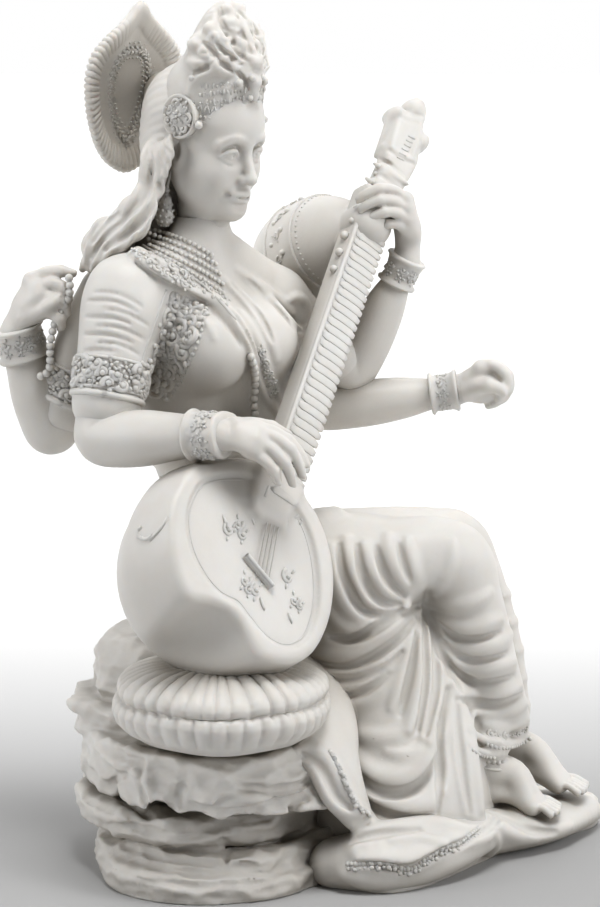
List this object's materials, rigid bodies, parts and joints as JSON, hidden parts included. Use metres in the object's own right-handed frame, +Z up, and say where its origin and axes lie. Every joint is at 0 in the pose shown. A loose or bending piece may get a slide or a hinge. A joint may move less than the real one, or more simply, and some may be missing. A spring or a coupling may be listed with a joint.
{
  "type": "seated goddess figure",
  "caption": "Cast figure of a seated goddess with several arms, a crown and a pointed halo, playing a long-necked lute whose bowl rests on a lotus cushion on rock.",
  "frame": {"origin": "on the flat underside of the rock, roughly under the middle of the figure", "axes": "+X the way her knees point, -Y her right-hand side, +Z up from the underside to the crown"},
  "size_m": [0.1877, 0.1398, 0.2601],
  "materials": {
    "cast_marble": "satin, fine polished cast marble with a soft warm white surface"
  },
  "bodies": {
    "root": {"saraswati_figure": "cast_marble"}
  },
  "joints": []
}
